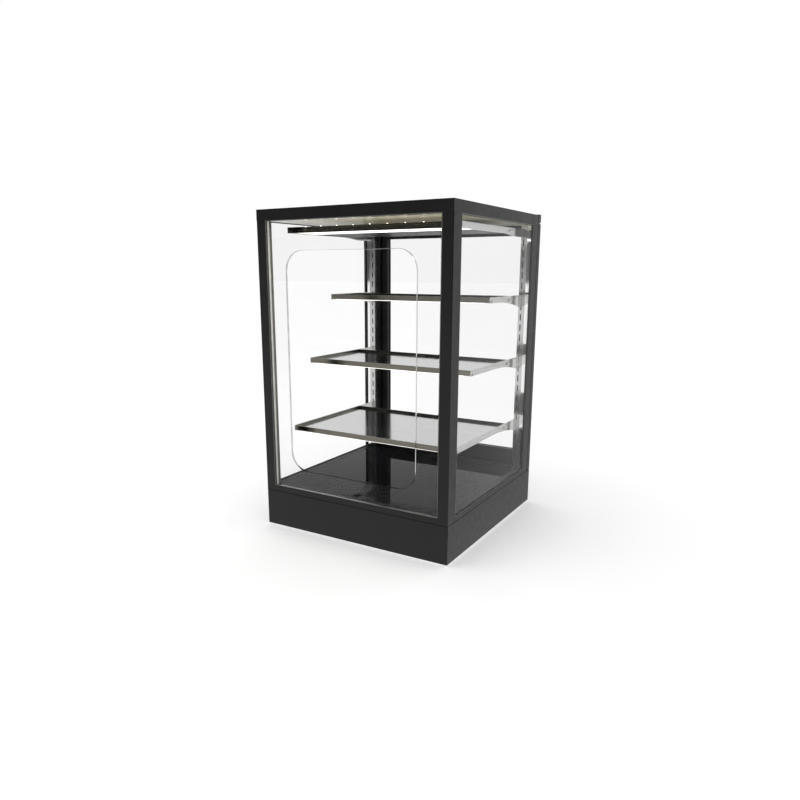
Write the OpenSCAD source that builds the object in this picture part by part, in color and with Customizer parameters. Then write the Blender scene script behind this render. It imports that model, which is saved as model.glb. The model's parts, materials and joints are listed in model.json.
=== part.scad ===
// Counter-top hot food display case, self-service front, hinged rear door.
// Origin: middle of the footprint, on the plane the feet stand on.
// The customer's side faces -Y, the operator's side faces +Y, and +Z is up.

/* [Case] */
// Width of the case over the frame
case_w = 500; // [440:1:700]
// Depth of the case, from the front face to the rear face of the door
case_d = 504; // [460:1:700]
// Height of the case above its feet
case_h = 755; // [640:1:950]
// Height of the rubber feet
foot_h = 4; // [3:0.5:8]
// Height of the base cabinet
base_h = 88; // [82:1:120]
// Thickness of the folded sheet of the base
sheet_t = 1.5; // [1:0.1:2.5]
// Radius of the upright outer edges of base and posts
edge_r = 1.5; // [1.5:0.5:4]

/* [Frame] */
// Width of posts and rails seen from the front
post_w = 25; // [20:1:35]
// Depth of the front posts' outer flanges and of the top rails over the windows
post_d = 36.5; // [28:0.5:45]
// Depth of the front posts at the self-service opening
post_inner_d = 23; // [18:0.5:26]
// Wall of the frame tubes
tube_t = 1.5; // [1:0.1:2.5]
// Height of the front bottom rail
front_sill_h = 14.5; // [10:0.5:25]
// Height of the side and rear bottom rails
side_sill_h = 12; // [8:0.5:20]
// Thickness of the folded rear posts
rear_leg_t = 5; // [3:0.5:6]
// Width of the rear posts' inner leg
rear_leg_w = 36; // [34:1:46]

/* [Glass] */
// Thickness of the fixed panes
glass_t = 6; // [4:0.5:8]
// Width of the silicone joint round a fixed pane
joint_w = 1.5; // [1:0.1:3]
// Set-back of the panes from the frame's outer faces
glass_setback = 0.5; // [0:0.1:2]
// Width of the self-service opening
cutout_w = 338; // [200:1:370]
// Height of the self-service opening
cutout_h = 511; // [300:1:540]
// Height of the opening's lower edge above the base cabinet
cutout_rise = 64; // [30:1:90]
// Corner radius of the self-service opening
cutout_r = 45; // [10:1:70]

/* [Shelves] */
// Gap between the brackets and the inner planes of the posts
bracket_gap = 0.8; // [0.5:0.1:5]
// Distance between the slots of the uprights
slot_pitch = 26.35; // [25:0.05:32]
// Heights of the three shelves above the base's underside, lowest first
shelf_heights = [238.5, 402, 559];
// Depths of the three shelves, lowest first
shelf_depths = [366, 294.5, 199];
// Depth of the lamp canopy
canopy_d = 284; // [200:1:290]
// Thickness of the shelf sheet
shelf_t = 1.5; // [1:0.1:2.5]
// Height of the folded front edge of a shelf
shelf_lip_h = 12.6; // [10:0.1:16]
// Depth of a shelf's floor below its rim
shelf_recess = 6; // [3:0.5:6]
// Distance from the rear rims of the shelves to the rear ends of their brackets
shelf_rear_gap = 72; // [10:1:100]
// Thickness of the shelf brackets
bracket_t = 2; // [1.5:0.1:2.5]
// Height of a bracket at the upright
bracket_rear_h = 32; // [28:1:45]

/* [Door] */
// Thickness of the rear door
door_t = 19; // [17:0.5:24]
// Gap between the rear posts and the door
door_gap = 2; // [1.5:0.1:4]
// Height of the door above the top of the frame
door_rise = 1.6; // [0:0.1:3]
// Width of the door stile that holds the grip channel
grip_stile_w = 56; // [50:1:70]
// Width of the door stile on the hinge side
hinge_stile_w = 42; // [36:1:56]
// Height of the door's top and bottom rails
door_rail_h = 50; // [30:1:60]
// Thickness of the door glass
door_glass_t = 5; // [4:0.5:6]
// Radius of the hinge pins
pin_r = 3; // [2:0.25:4]

/* [Controls] */
// Width of the recess for the controls
recess_w = 300; // [260:1:340]
// Height of the recess for the controls
recess_h = 60; // [50:1:62]
// Depth of the recess for the controls
recess_d = 20; // [20:1:24]
// Diameter of the thermostat knob
knob_dia = 36; // [28:1:44]
// Radius of the thermostat spindle
spindle_r = 3; // [2:0.25:4]
// Tilt of a switch rocker to either side
rocker_tilt = 8; // [4:1:9]

/* [Clearances] */
// Play between parts that are pushed together
play = 0.2; // [0.1:0.05:0.4]
// Gap between parts that move past each other
run_gap = 0.4; // [0.3:0.05:1]
// Radial clearance of a pin or spindle in its bore
bore_gap = 0.05; // [0.01:0.01:0.1]

/* [Hidden] */
$fn = 48;
e = 0.1; // overshoot of a cut past the face it opens

// Outer faces and main levels
x_side = case_w / 2;
y_front = -case_d / 2;
y_back = case_d / 2;
z_base = foot_h;
z_deck = foot_h + base_h;
z_top = foot_h + case_h;
z_rail = z_top - post_w;
z_floor = z_deck + side_sill_h;

// Door planes, then the rear posts that it closes against
y_door = y_back - door_t;
y_post_back = y_door - door_gap;
y_rear_leg = y_post_back - rear_leg_t;
y_post_front = y_post_back - post_d;
y_front_in = y_front + post_d;
x_in = x_side - post_w;
x_rear_leg = x_side - rear_leg_w;
post_flange_w = 10;
ceiling_t = 1;
stiffener_w = 20;
stiffener_inset = 60;
x_stiffener = x_in - 20;

// Slotted uprights
upright_t = 1.5;
upright_w = 16.5;
slot_h = 16;
slot_w = bracket_t + 1;
slot_edge = 6.7;
first_slot = z_floor + 25.65;
slots_up = floor((z_rail - 3 - slot_h - first_slot) / slot_pitch);
x_bracket_out = x_in - bracket_gap;
x_bracket_mid = x_bracket_out - bracket_t / 2;
x_upright_in = x_bracket_mid - slot_edge;
y_upright = y_post_front + 3.5;

// Shelves
hook_h = 7;
hook_drop = 5;
hook_reach = 4;
nib_h = 6;
y_bracket_back = y_upright - 4;
y_pan_back = y_bracket_back - shelf_rear_gap;
x_pan = x_bracket_out - bracket_t - play;
curve_y = 160;
curve_r = 666;
screw_inset = 9;
shelf_screw_drop = 10;
canopy_screw_drop = 7;
m3_r = 1.5;
m3_hole_r = 1.6;
lamp_d = 12;
lamp_end = 16;
canopy_above_slot = 13.65;
canopy_front_h = 13.6;
canopy_rear_gap = 84;
canopy_lip = 6;
diffuser_t = 3;
diffuser_d = 105;
canopy_bracket_h = 19;

// Base and its contents
flange_w = 40;
rear_flange_w = 58;
foot_inset = 40;
foot_r = 15;
m4_r = 2;
m4_hole_r = 2.1;
tray_lap = 5;
tray_h = 26;
tray_t = 1;
x_tray = x_side - flange_w + tray_lap;
y_tray = [y_front + flange_w - tray_lap, y_post_back - rear_flange_w + tray_lap];
z_tray = z_deck - sheet_t - tray_h;
rod_r = 4;
rod_runs = 6;
rod_pitch = 44;
rod_half = x_tray - 65;
y_rod = (y_tray[0] + y_tray[1] - (rod_runs - 1) * rod_pitch) / 2;
pad_h = 6;
slab_h = 20;
ring_w = 15;
floor_t = 6;
floor_gap = 0.5;

// Controls
y_panel = y_back - recess_d;
z_control = z_base + 14 + recess_h / 2;
panel_rim = 10;
knob_x = -95;
knob_h = 15;
knob_gap = 2.2;
knob_r = knob_dia / 2;
dial_screw = 14;
inlet_screw = 20;
switch_x = [15, 60];
inlet_x = 115;
bezel_t = 2;
switch_w = 22;
switch_h = 30;
well_w = 17;
well_h = 25;
well_d = 14;
rocker_w = 16;
rocker_half = 11;
rocker_pivot = 6;
stub_r = 1.5;
inlet_w = 27;
inlet_h = 20;
socket_w = 24.2;
socket_h = 16.6;
socket_d = 16;

// Door
door_bottom_gap = 3;
z_door = z_deck + door_bottom_gap;
z_door_top = z_top + door_rise;
hinge_in = 6;
hinge_x = x_side - hinge_in;
hinge_y = y_back - hinge_in;
lug_t = 3;
lug_z = z_rail + 4;
washer_t = 1.2;
pin_len = 14;
rebate = 6;
seal_w = 8;
seal_inset = 18;

function shelf_front(i) = y_bracket_back - shelf_depths[i];
function shelf_z(i) = z_base + shelf_heights[i];
// Lower end of the slot that takes the hook of a bracket whose shelf lies at z.
function slot_under(z) =
    first_slot + slot_pitch * floor((z - hook_drop - 1 - first_slot) / slot_pitch);

// A box between two planes on each axis.
module span(x, y, z) {
    translate([x[0], y[0], z[0]])
        cube([x[1] - x[0], y[1] - y[0], z[1] - z[0]]);
}

// The same solid on the right and, mirrored, on the left.
module both_sides() {
    children();
    mirror([1, 0, 0]) children();
}

// Flat outline of a rounded rectangle centred on the origin.
module rounded_outline(w, h, r) {
    square([w - 2 * r, h], center = true);
    square([w, h - 2 * r], center = true);
    for (sx = [-1, 1], sy = [-1, 1])
        translate([sx * (w / 2 - r), sy * (h / 2 - r)]) circle(r);
}

// A cylinder that runs from y0 to y1 along +Y.
module rod_y(x, z, y0, y1, r) {
    translate([x, y0, z]) rotate([-90, 0, 0]) cylinder(h = y1 - y0, r = r);
}

// A cylinder that runs from x0 to x1 along +X.
module rod_x(y, z, x0, x1, r) {
    translate([x0, y, z]) rotate([0, 90, 0]) cylinder(h = x1 - x0, r = r);
}

// ---------- feet and base cabinet ----------

module foot_places() {
    for (sx = [-1, 1], sy = [-1, 1])
        translate([sx * (x_side - foot_inset), sy * (y_back - foot_inset), 0]) children();
}

module foot_pads() {
    color("#1a1a1a") foot_places() difference() {
        cylinder(h = foot_h, r = foot_r);
        translate([0, 0, -e]) cylinder(h = foot_h + 2 * e, r = m4_hole_r);
        translate([0, 0, -e]) cylinder(h = foot_h * 0.6 + e, r = 2 * m4_hole_r);
    }
}

module bottom_plate() {
    inset = sheet_t + play;
    color("#8a8c8e") difference() {
        translate([0, 0, z_base]) linear_extrude(sheet_t)
            rounded_outline(case_w - 2 * inset, case_d - 2 * inset, edge_r);
        foot_places() translate([0, 0, z_base - e]) cylinder(h = sheet_t + 2 * e, r = m4_hole_r);
        for (i = [-3:3], y = [-120, 120])
            span([i * 14 - 2.5, i * 14 + 2.5], [y - 25, y + 25], [z_base - e, z_base + sheet_t + e]);
    }
}

module base_shell() {
    color("#202021") difference() {
        translate([0, 0, z_base]) linear_extrude(base_h)
            rounded_outline(case_w, case_d, edge_r);
        translate([0, 0, z_base - e]) linear_extrude(base_h - sheet_t + e)
            rounded_outline(case_w - 2 * sheet_t, case_d - 2 * sheet_t, edge_r - sheet_t / 2);
        span([-x_side + flange_w, x_side - flange_w],
             [y_front + flange_w, y_post_back - rear_flange_w],
             [z_deck - 2 * sheet_t, z_deck + e]);
        span([-recess_w / 2 - play, recess_w / 2 + play], [y_back - 2 * sheet_t, y_back + e],
             [z_control - recess_h / 2 - play, z_control + recess_h / 2 + play]);
        for (side = [-1, 1], i = [0:5])
            translate([side * (recess_w / 2 + 46) - 25, y_back - 2 * sheet_t, z_base + 24 + i * 9])
                cube([50, 3 * sheet_t, 4]);
    }
}

module control_panel() {
    z0 = z_control - recess_h / 2;
    z1 = z_control + recess_h / 2;
    y_in = y_back - sheet_t;
    color("#2b2b2d") difference() {
        union() {
            span([-recess_w / 2, recess_w / 2], [y_panel - sheet_t, y_back], [z0, z1]);
            span([-recess_w / 2 - panel_rim, recess_w / 2 + panel_rim], [y_in - sheet_t, y_in],
                 [z0 - panel_rim, z1 + panel_rim]);
        }
        span([-recess_w / 2 + sheet_t, recess_w / 2 - sheet_t], [y_panel, y_back + e],
             [z0 + sheet_t, z1 - sheet_t]);
        rod_y(knob_x, z_control, y_panel - 2 * sheet_t, y_panel + e, spindle_r + 2);
        for (x = [knob_x - dial_screw, knob_x + dial_screw])
            rod_y(x, z_control, y_panel - 2 * sheet_t, y_panel + e, m3_hole_r);
        for (x = switch_x)
            span([x - switch_w / 2, x + switch_w / 2], [y_panel - 2 * sheet_t, y_panel + e],
                 [z_control - switch_h / 2, z_control + switch_h / 2]);
        span([inlet_x - inlet_w / 2, inlet_x + inlet_w / 2], [y_panel - 2 * sheet_t, y_panel + e],
             [z_control - inlet_h / 2, z_control + inlet_h / 2]);
        for (x = [inlet_x - inlet_screw, inlet_x + inlet_screw])
            rod_y(x, z_control, y_panel - 2 * sheet_t, y_panel + e, m3_hole_r);
    }
}

module power_inlet() {
    color("#161617") difference() {
        union() {
            span([inlet_x - 25, inlet_x + 25], [y_panel, y_panel + bezel_t],
                 [z_control - 13, z_control + 13]);
            span([inlet_x - inlet_w / 2 + play, inlet_x + inlet_w / 2 - play],
                 [y_panel - 20, y_panel + bezel_t],
                 [z_control - inlet_h / 2 + play, z_control + inlet_h / 2 - play]);
        }
        difference() {
            span([inlet_x - socket_w / 2, inlet_x + socket_w / 2],
                 [y_panel + bezel_t - socket_d, y_panel + bezel_t + e],
                 [z_control - socket_h / 2, z_control + socket_h / 2]);
            for (side = [-1, 1])
                translate([inlet_x + side * socket_w / 2, 0, z_control + socket_h / 2])
                    rotate([0, 45, 0]) cube([7, case_d * 2, 7], center = true);
        }
        for (x = [inlet_x - inlet_screw, inlet_x + inlet_screw])
            rod_y(x, z_control, y_panel - e, y_panel + bezel_t + e, m3_hole_r);
    }
}

module inlet_pins() {
    floor_y = y_panel + bezel_t - socket_d;
    color("#b9a36b") for (pin = [[-7, -2], [0, 2], [7, -2]])
        span([inlet_x + pin[0] - 1, inlet_x + pin[0] + 1], [floor_y, floor_y + socket_d - 2],
             [z_control + pin[1] - 2, z_control + pin[1] + 2]);
}

module thermostat_body() {
    y1 = y_panel - sheet_t;
    color("#d8d5cc") difference() {
        span([knob_x - 19, knob_x + 19], [y1 - 30, y1], [z_control - 17, z_control + 17]);
        rod_y(knob_x, z_control, y1 - 24, y1 + e, spindle_r + bore_gap);
        for (x = [knob_x - dial_screw, knob_x + dial_screw])
            rod_y(x, z_control, y1 - 6, y1 + e, m3_hole_r);
    }
}

module thermostat_probe() {
    probe_r = 3;
    color("#b5763f")
        rod_x(y_tray[1] - 20, z_tray + tray_t + pad_h + probe_r, -40, 40, probe_r);
}

module switch_housings() {
    y1 = y_panel + bezel_t;
    color("#131314") for (x = switch_x) difference() {
        union() {
            span([x - switch_w / 2 - 2, x + switch_w / 2 + 2], [y_panel, y1],
                 [z_control - switch_h / 2 - 2, z_control + switch_h / 2 + 2]);
            span([x - switch_w / 2 + play, x + switch_w / 2 - play], [y_panel - 24, y1],
                 [z_control - switch_h / 2 + play, z_control + switch_h / 2 - play]);
        }
        span([x - well_w / 2, x + well_w / 2], [y1 - well_d, y1 + e],
             [z_control - well_h / 2, z_control + well_h / 2]);
        rod_x(y1 - rocker_pivot, z_control, x - well_w / 2 - 2, x + well_w / 2 + 2,
              stub_r + bore_gap);
    }
}

// A rocker with its two stubs, tilted so that its lower half stands out.
module rocker(x) {
    flank = 3;
    front = rocker_pivot + 0.5;
    translate([x, y_panel + bezel_t - rocker_pivot, z_control]) rotate([rocker_tilt, 0, 0]) {
        rotate([90, 0, 90]) translate([0, 0, -rocker_w / 2]) linear_extrude(rocker_w)
            polygon([[-flank, -rocker_half + 1], [front + 1.4, -rocker_half], [front, 0],
                     [front + 1.4, rocker_half], [-flank, rocker_half - 1]]);
        rod_x(0, 0, -well_w / 2 - 1.5, well_w / 2 + 1.5, stub_r);
    }
}

module power_rocker() {
    color("#2f8f46") rocker(switch_x[0]);
}

module light_rocker() {
    color("#1c1c1e") rocker(switch_x[1]);
}

module thermostat_knob() {
    y0 = y_panel + knob_gap;
    grip_r = knob_r - 3;
    flute_r = 1.2;
    color("#101011") {
        difference() {
            union() {
                rod_y(knob_x, z_control, y0, y0 + 3, knob_r);
                rod_y(knob_x, z_control, y0 + 3 - e, y0 + knob_h, grip_r);
            }
            for (i = [1:23])
                translate([knob_x, 0, z_control]) rotate([0, i * 15, 0])
                    rod_y(0, grip_r + 0.3, y0 + 3, y0 + knob_h + e, flute_r);
            rod_y(knob_x, z_control, y0 - e, y0 + knob_h - 4, spindle_r);
        }
        rod_y(knob_x, z_control, y_panel - sheet_t - 22, y0 + knob_h - 4, spindle_r);
    }
}

module terminal_block() {
    color("#e4e0d4") difference() {
        span([-150, -84], [120, 142], [z_base + sheet_t, z_base + sheet_t + 20]);
        for (i = [0:5])
            translate([-144.5 + i * 11, 131, z_base + sheet_t + 12]) cylinder(h = 9, r = 3.2);
    }
}

module led_driver() {
    color("#c9cbcd") span([40, 150], [100, 145], [z_base + sheet_t, z_base + sheet_t + 28]);
}

module heating_element() {
    z = z_tray + tray_t + pad_h + rod_r;
    color("#3a3431") {
        for (i = [0:rod_runs - 1])
            rod_x(y_rod + i * rod_pitch, z, -rod_half, rod_half, rod_r);
        for (i = [0:rod_runs - 2]) {
            side = i % 2 == 0 ? 1 : -1;
            translate([side * rod_half, y_rod + (i + 0.5) * rod_pitch, z])
                rotate([0, 0, side * -90]) rotate_extrude(angle = 180)
                    translate([rod_pitch / 2, 0]) circle(rod_r);
        }
        for (i = [0, rod_runs - 1])
            rod_x(y_rod + i * rod_pitch, z, -rod_half - 40, -rod_half + e, rod_r + 1);
    }
}

module heat_reflector() {
    color("#c2c4c6") {
        difference() {
            span([-x_tray, x_tray], y_tray, [z_tray, z_deck - sheet_t]);
            span([-x_tray + tray_t, x_tray - tray_t], [y_tray[0] + tray_t, y_tray[1] - tray_t],
                 [z_tray + tray_t, z_deck]);
        }
        for (x = [-100, 100], i = [0:rod_runs - 1])
            translate([x, y_rod + i * rod_pitch, z_tray + tray_t]) support_pad();
        for (x = [-30, 30])
            translate([x, y_tray[1] - 20, z_tray + tray_t]) support_pad();
    }
}

// Small block that carries a rod above the tray.
module support_pad() {
    translate([-4, -4, -e]) cube([8, 8, pad_h + e]);
}

module insulation_slab() {
    color("#cdb98a") span([-x_tray, x_tray], y_tray, [z_tray - slab_h, z_tray]);
}

// ---------- heated floor ----------

module floor_ring(inset, z0, z1) {
    x1 = x_in - floor_gap;
    y0 = y_front + post_w + floor_gap;
    y1 = y_upright + 6;
    difference() {
        span([-x1, x1], [y0, y1], [z0, z1]);
        if (inset > 0)
            span([-x1 + inset, x1 - inset], [y0 + inset, y1 - inset], [z0 - e, z1 + e]);
    }
}

module floor_support() {
    color("#8d8f92") floor_ring(ring_w, z_deck, z_floor - floor_t);
}

module floor_glass() {
    color("#0b0b0d") floor_ring(0, z_floor - floor_t, z_floor);
}

// ---------- welded frame ----------

// Right front post: a tube with a rounded outer edge and a deeper part beside the side pane.
module front_post() {
    x_flange = post_w - post_flange_w;
    translate([x_in, y_front, z_deck]) linear_extrude(z_rail - z_deck) difference() {
        union() {
            square([post_w - edge_r, post_inner_d]);
            translate([0, edge_r]) square([post_w, post_inner_d - edge_r]);
            translate([post_w - edge_r, edge_r]) circle(edge_r);
            translate([x_flange, edge_r]) square([post_flange_w, post_d - edge_r]);
        }
        translate([tube_t, tube_t]) square([post_w - 2 * tube_t, post_inner_d - 2 * tube_t]);
        translate([x_flange + tube_t, tube_t])
            square([post_flange_w - 2 * tube_t, post_d - 2 * tube_t]);
    }
}

module front_right_post() {
    color("#222223") front_post();
}

module front_left_post() {
    color("#222223") mirror([1, 0, 0]) front_post();
}

// Right rear post: an angle that shelters the slotted upright.
module rear_post() {
    span([x_side - rear_leg_t, x_side], [y_post_front, y_post_back], [z_deck, z_rail]);
    span([x_rear_leg, x_side - rear_leg_t], [y_rear_leg, y_post_back], [z_deck, z_rail]);
}

module rear_right_post() {
    color("#222223") rear_post();
}

module rear_left_post() {
    color("#222223") mirror([1, 0, 0]) rear_post();
}

// A tube between two planes on each axis, with walls at its ends if end_t is positive.
module tube(x, y, z, along, end_t = -e) {
    t = [for (i = [0:2]) i == along ? end_t : tube_t];
    difference() {
        span(x, y, z);
        span([x[0] + t[0], x[1] - t[0]], [y[0] + t[1], y[1] - t[1]], [z[0] + t[2], z[1] - t[2]]);
    }
}

// Top rail across the case, with a hole for the lamp wires behind the roof panel.
module cross_rail(y, hole_y) {
    difference() {
        tube([-x_side, x_side], y, [z_rail, z_top], 0, tube_t);
        rod_y(x_in - 30, z_top - 5, hole_y - 2 * tube_t, hole_y + 2 * tube_t, 2.5);
    }
}

module front_sill() {
    color("#222223")
        tube([-x_in, x_in], [y_front, y_front + post_w], [z_deck, z_deck + front_sill_h], 0);
}

// Right bottom rail, notched for the deeper part of the front post.
module side_sill() {
    y0 = y_front + post_inner_d;
    difference() {
        tube([x_in, x_side], [y0, y_post_front], [z_deck, z_floor], 1);
        span([x_side - post_flange_w, x_side + e], [y0 - e, y_front_in], [z_deck - e, z_floor + e]);
    }
}

module right_sill() {
    color("#222223") side_sill();
}

module left_sill() {
    color("#222223") mirror([1, 0, 0]) side_sill();
}

module rear_sill() {
    color("#222223") {
        tube([-x_rear_leg, x_rear_leg], [y_upright + 7, y_post_back], [z_deck, z_floor], 0);
        both_sides() span([x_rear_leg, x_side - rear_leg_t], [y_upright + 7, y_rear_leg],
                          [z_deck, z_floor]);
    }
}

module front_top_rail() {
    color("#222223") cross_rail([y_front, y_front_in], y_front_in);
}

module right_top_rail() {
    color("#222223") tube([x_in, x_side], [y_front_in, y_post_front], [z_rail, z_top], 1);
}

module left_top_rail() {
    color("#222223") tube([-x_side, -x_in], [y_front_in, y_post_front], [z_rail, z_top], 1);
}

module rear_top_rail() {
    color("#222223") cross_rail([y_post_front, y_post_back], y_post_front);
}

module roof_panel() {
    color("#222223") span([-x_in, x_in], [y_front_in, y_post_front], [z_top - sheet_t, z_top]);
}

// Sheet under the top rails, with two stiffeners that reach the roof.
module ceiling_panel() {
    x1 = x_in - play;
    y = [y_glass[1] + play, y_upright - play];
    color("#b8b6ae") {
        span([-x1, x1], y, [z_rail - ceiling_t, z_rail]);
        for (y0 = [y_front_in + stiffener_inset, y_post_front - stiffener_inset])
            span([-x_stiffener, x_stiffener], [y0 - stiffener_w / 2, y0 + stiffener_w / 2],
                 [z_rail - e, z_top - sheet_t]);
    }
}

// ---------- fixed panes ----------

z_pane_top = z_rail - joint_w;
y_glass = [y_front + glass_setback, y_front + glass_setback + glass_t];
x_glass = [x_side - glass_setback - glass_t, x_side - glass_setback];

module front_glass() {
    color("#dfe9ea", 0.35) difference() {
        span([-x_in + joint_w, x_in - joint_w], y_glass,
             [z_deck + front_sill_h + joint_w, z_pane_top]);
        translate([0, y_glass[1] + e, z_deck + cutout_rise + cutout_h / 2]) rotate([90, 0, 0])
            linear_extrude(glass_t + 2 * e) rounded_outline(cutout_w, cutout_h, cutout_r);
    }
}

module side_pane() {
    span(x_glass, [y_front_in + joint_w, y_post_front - joint_w],
         [z_floor + joint_w, z_pane_top]);
}

module right_glass() {
    color("#dfe9ea", 0.35) side_pane();
}

module left_glass() {
    color("#dfe9ea", 0.35) mirror([1, 0, 0]) side_pane();
}

module glazing_joints() {
    color("#0c0c0d") {
        difference() {
            span([-x_in, x_in], y_glass, [z_deck + front_sill_h, z_rail]);
            span([-x_in + joint_w, x_in - joint_w], [y_front - e, y_glass[1] + e],
                 [z_deck + front_sill_h + joint_w, z_pane_top]);
        }
        both_sides() difference() {
            span(x_glass, [y_front_in, y_post_front], [z_floor, z_rail]);
            span([x_glass[0] - e, x_side + e], [y_front_in + joint_w, y_post_front - joint_w],
                 [z_floor + joint_w, z_pane_top]);
        }
    }
}

// ---------- shelves ----------

// Right upright: a slotted channel with a flange that reaches the rear post.
module upright() {
    x1 = x_upright_in + upright_w;
    difference() {
        union() {
            span([x_upright_in, x1], [y_upright, y_upright + upright_t], [z_floor, z_rail]);
            span([x_upright_in, x_upright_in + upright_t], [y_upright, y_rear_leg],
                 [z_floor, z_rail]);
            span([x1 - upright_t, x1], [y_upright, y_rear_leg], [z_floor, z_rail]);
            span([x1, x_side - rear_leg_t], [y_upright, y_upright + upright_t],
                 [z_floor, z_rail]);
        }
        for (i = [0:slots_up])
            span([x_bracket_mid - slot_w / 2, x_bracket_mid + slot_w / 2],
                 [y_upright - e, y_upright + upright_t + e],
                 [first_slot + i * slot_pitch, first_slot + i * slot_pitch + slot_h]);
    }
}

module right_upright() {
    color("#9c9a94") upright();
}

module left_upright() {
    color("#9c9a94") mirror([1, 0, 0]) upright();
}

// The two screws at height z near the front and rear ends of a shelf.
module screw_places(y, z) {
    for (place = [y[0] + screw_inset, y[1] - screw_inset])
        translate([0, place, z]) children();
}

module shelf_screw_places(i) {
    screw_places([shelf_front(i), y_pan_back], shelf_z(i) - shelf_screw_drop) children();
}

module canopy_screw_places() {
    screw_places([y_canopy, y_canopy_back], z_canopy - canopy_screw_drop) children();
}

// Folded shelf: recessed floor, sides that end in a rim, and a front edge over the light strip.
module shelf(i) {
    y0 = shelf_front(i);
    z = shelf_z(i);
    z_pan = z - shelf_recess;
    difference() {
        union() {
            span([-x_pan, x_pan], [y0, y_pan_back], [z_pan - shelf_t, z_pan]);
            span([-x_pan, x_pan], [y0, y0 + shelf_t], [z - shelf_lip_h, z]);
            span([-x_pan, x_pan], [y_pan_back - shelf_t, y_pan_back], [z_pan - shelf_t, z]);
            both_sides() span([x_pan - shelf_t, x_pan], [y0, y_pan_back], [z - shelf_lip_h, z]);
        }
        both_sides() shelf_screw_places(i)
            rod_x(0, 0, x_pan - shelf_t - 1, x_pan + 1, m3_hole_r);
    }
}

module shelf_lower() {
    color("#a9a69c") shelf(0);
}

module shelf_middle() {
    color("#a9a69c") shelf(1);
}

module shelf_upper() {
    color("#a9a69c") shelf(2);
}

// Right bracket: a plate that deepens towards the upright, with a hook and a nib in its slots.
// Its screw holes are where the children are placed.
module bracket(y0, z, front_h, rear_h) {
    y1 = y_upright - play;
    slot_z = slot_under(z);
    nib_z = [z - rear_h, z - rear_h + nib_h];
    x = [x_bracket_out - bracket_t, x_bracket_out];
    difference() {
        translate([x[0], 0, 0]) rotate([90, 0, 90]) linear_extrude(bracket_t) difference() {
            translate([y0 + 1, z - rear_h]) square([y1 - y0 - 1, rear_h]);
            translate([y0, z - rear_h - e]) square([y1 - curve_y - y0, rear_h - front_h + e]);
            translate([y1 - curve_y, z - front_h - curve_r]) circle(curve_r, $fn = 360);
        }
        children();
    }
    span(x, [y1 - e, y_upright + hook_reach], [slot_z, slot_z + hook_h]);
    span(x, [y_upright + upright_t + play, y_upright + hook_reach],
         [slot_z - hook_drop, slot_z + hook_h]);
    if (nib_z[0] >= slot_z - slot_pitch && nib_z[1] <= slot_z - slot_pitch + slot_h)
        span(x, [y1 - e, y_upright + hook_reach - 1], nib_z);
}

module bracket_screw_hole() {
    rod_x(0, 0, x_bracket_out - bracket_t - 1, x_bracket_out + 1, m3_hole_r);
}

module shelf_bracket(i) {
    bracket(shelf_front(i), shelf_z(i), shelf_lip_h + 1, bracket_rear_h)
        shelf_screw_places(i) bracket_screw_hole();
}

module brackets_lower() {
    color("#b9babb") both_sides() shelf_bracket(0);
}

module brackets_middle() {
    color("#b9babb") both_sides() shelf_bracket(1);
}

module brackets_upper() {
    color("#b9babb") both_sides() shelf_bracket(2);
}

module brackets_canopy() {
    color("#b9babb") both_sides() bracket(y_canopy, z_canopy, canopy_front_h, canopy_bracket_h)
        canopy_screw_places() bracket_screw_hole();
}

// Light strip behind the front edge of a shelf.
module shelf_lamp(i) {
    y0 = shelf_front(i) + shelf_t;
    z = shelf_z(i);
    span([-x_pan + lamp_end, x_pan - lamp_end], [y0, y0 + lamp_d],
         [z - shelf_lip_h - 1, z - shelf_recess - shelf_t]);
}

module shelf_lamp_lower() {
    color("#fbf7ea") shelf_lamp(0);
}

module shelf_lamp_middle() {
    color("#fbf7ea") shelf_lamp(1);
}

module shelf_lamp_upper() {
    color("#fbf7ea") shelf_lamp(2);
}

// ---------- lamp canopy ----------

y_canopy_back = y_bracket_back - canopy_rear_gap;
y_canopy = y_canopy_back - canopy_d;
z_canopy = first_slot + slots_up * slot_pitch + canopy_above_slot;
y_diffuser = [y_canopy + shelf_t, y_canopy + shelf_t + diffuser_d];
z_ledge = z_canopy - canopy_front_h + shelf_t;

module canopy_housing() {
    color("#8f8b7e") difference() {
        union() {
            span([-x_pan, x_pan], [y_canopy, y_canopy_back], [z_canopy - shelf_t, z_canopy]);
            span([-x_pan, x_pan], [y_canopy, y_canopy + shelf_t],
                 [z_canopy - canopy_front_h, z_canopy]);
            span([-x_pan, x_pan], [y_canopy, y_canopy + canopy_lip],
                 [z_canopy - canopy_front_h, z_ledge]);
            both_sides() {
                span([x_pan - shelf_t, x_pan], [y_canopy, y_canopy_back],
                     [z_canopy - canopy_front_h, z_canopy]);
                span([x_pan - canopy_lip, x_pan], [y_canopy, y_canopy_back],
                     [z_canopy - canopy_front_h, z_ledge]);
            }
        }
        both_sides() canopy_screw_places()
            rod_x(0, 0, x_pan - shelf_t - 1, x_pan + 1, m3_hole_r);
    }
}

module canopy_diffuser() {
    color("#fffdf4") span([-x_pan + 2 * shelf_t, x_pan - 2 * shelf_t],
                          y_diffuser, [z_ledge, z_ledge + diffuser_t]);
}

module canopy_cover() {
    x1 = x_pan - 2 * shelf_t;
    y1 = y_diffuser[1] + play;
    color("#3b3a37") {
        span([-x1, x1], [y1, y_canopy_back - play], [z_ledge, z_ledge + shelf_t]);
        span([-x1, x1], [y1, y1 + shelf_t], [z_ledge, z_canopy - shelf_t]);
    }
}

// ---------- screws ----------

m3_head_t = 1.6;
m3_head_r = 2.8;
m3_len = 5;

module m3_screw_x(x) {
    rod_x(0, 0, x, x + m3_head_t, m3_head_r);
    rod_x(0, 0, x - m3_len, x + e, m3_r);
}

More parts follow.
